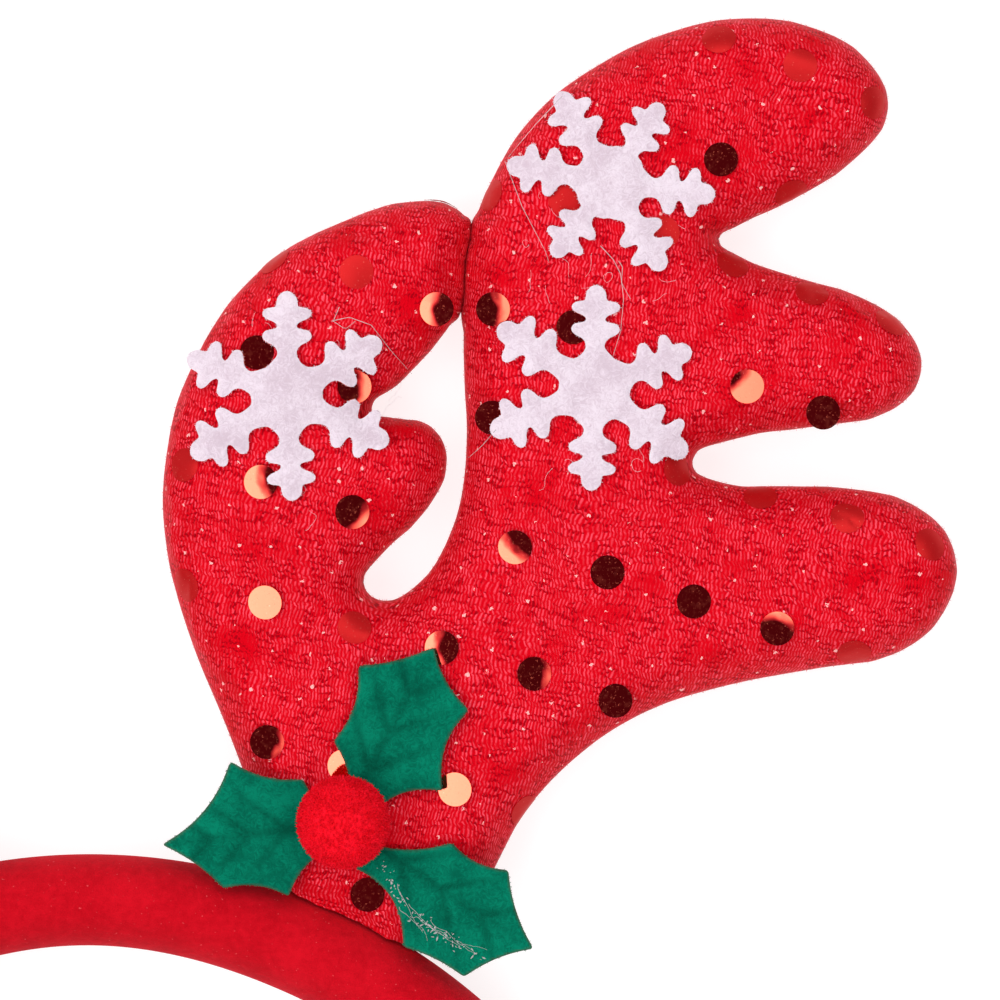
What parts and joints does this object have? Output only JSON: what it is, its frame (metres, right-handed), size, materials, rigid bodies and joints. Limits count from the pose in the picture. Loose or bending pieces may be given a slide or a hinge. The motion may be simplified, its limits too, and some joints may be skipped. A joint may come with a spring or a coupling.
{
  "type": "reindeer antler headband",
  "caption": "Padded velvet hoop headband with padded red knit reindeer antlers, trimmed with felt snowflakes, felt holly leaves and pompom berries.",
  "frame": {"origin": "middle of the whole in width and height, on the floor that the headband's back lies on", "axes": "+X to the right as seen from the front, +Y from the hoop's ends up to the antlers' tops, +Z out of the front, which faces up as it lies"},
  "size_m": [0.2084, 0.22, 0.0233],
  "materials": {
    "velvet": "short-pile red velvet over foam",
    "knit": "red knit with metallic threads, glitter and sequins",
    "green_felt": "die-cut green felt",
    "white_felt": "die-cut white felt",
    "pompom": "fluffy red pile"
  },
  "bodies": {
    "root": {"headband": "velvet", "antler_right": "knit", "antler_left": "knit", "leaf_upper_right": "green_felt", "leaf_inner_right": "green_felt", "leaf_outer_right": "green_felt", "leaf_upper_left": "green_felt", "leaf_inner_left": "green_felt", "leaf_outer_left": "green_felt", "flake_curl_right": "white_felt", "flake_middle_right": "white_felt", "flake_top_right": "white_felt", "flake_curl_left": "white_felt", "flake_middle_left": "white_felt", "flake_top_left": "white_felt", "pompom_right": "pompom", "pompom_left": "pompom"}
  },
  "joints": []
}
